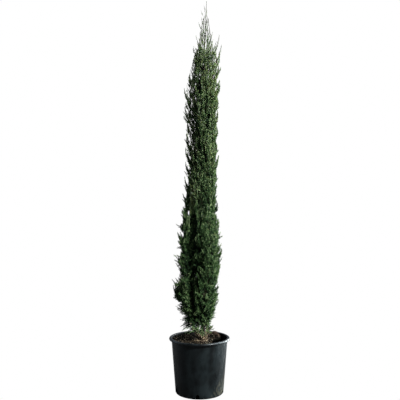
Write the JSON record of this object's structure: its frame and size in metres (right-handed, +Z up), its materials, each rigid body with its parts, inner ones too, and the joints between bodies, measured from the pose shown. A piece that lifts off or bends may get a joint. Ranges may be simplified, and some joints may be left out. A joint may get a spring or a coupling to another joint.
{
  "type": "potted italian cypress",
  "caption": "Slim columnar Italian cypress with dense dark green upright foliage, standing in a round black plastic nursery pot filled with bark potting mix.",
  "frame": {"origin": "middle of the pot's flat underside", "axes": "+Z up along the trunk; the picture looks along +Y, with +X to its right"},
  "size_m": [0.424, 0.424, 2.7397],
  "materials": {
    "pot_plastic": "satin black",
    "potting_mix": "rough",
    "bark": "rough",
    "foliage": "matt"
  },
  "bodies": {
    "root": {"bough_plume_01": "bark", "bough_plume_02": "bark", "bough_plume_03": "bark", "bough_plume_04": "bark", "bough_plume_05": "bark", "bough_plume_06": "bark", "bough_plume_07": "bark", "bough_plume_08": "bark", "bough_shoot_01": "bark", "bough_shoot_02": "bark", "bough_shoot_03": "bark", "bough_shoot_04": "bark", "bough_shoot_05": "bark", "leader": "foliage", "plume_01": "foliage", "plume_02": "foliage", "plume_03": "foliage", "plume_04": "foliage", "plume_05": "foliage", "plume_06": "foliage", "plume_07": "foliage", "plume_08": "foliage", "plume_09": "foliage", "plume_10": "foliage", "plume_11": "foliage", "plume_12": "foliage", "plume_13": "foliage", "plume_14": "foliage", "plume_15": "foliage", "plume_16": "foliage", "plume_17": "foliage", "plume_18": "foliage", "plume_19": "foliage", "plume_20": "foliage", "plume_21": "foliage", "plume_22": "foliage", "plume_23": "foliage", "plume_24": "foliage", "pot": "pot_plastic", "shoot_01": "foliage", "shoot_02": "foliage", "shoot_03": "foliage", "shoot_04": "foliage", "shoot_05": "foliage", "soil": "potting_mix", "stray_01": "foliage", "stray_02": "foliage", "stray_03": "foliage", "stray_04": "foliage", "stray_05": "foliage", "trunk": "bark"}
  },
  "joints": []
}
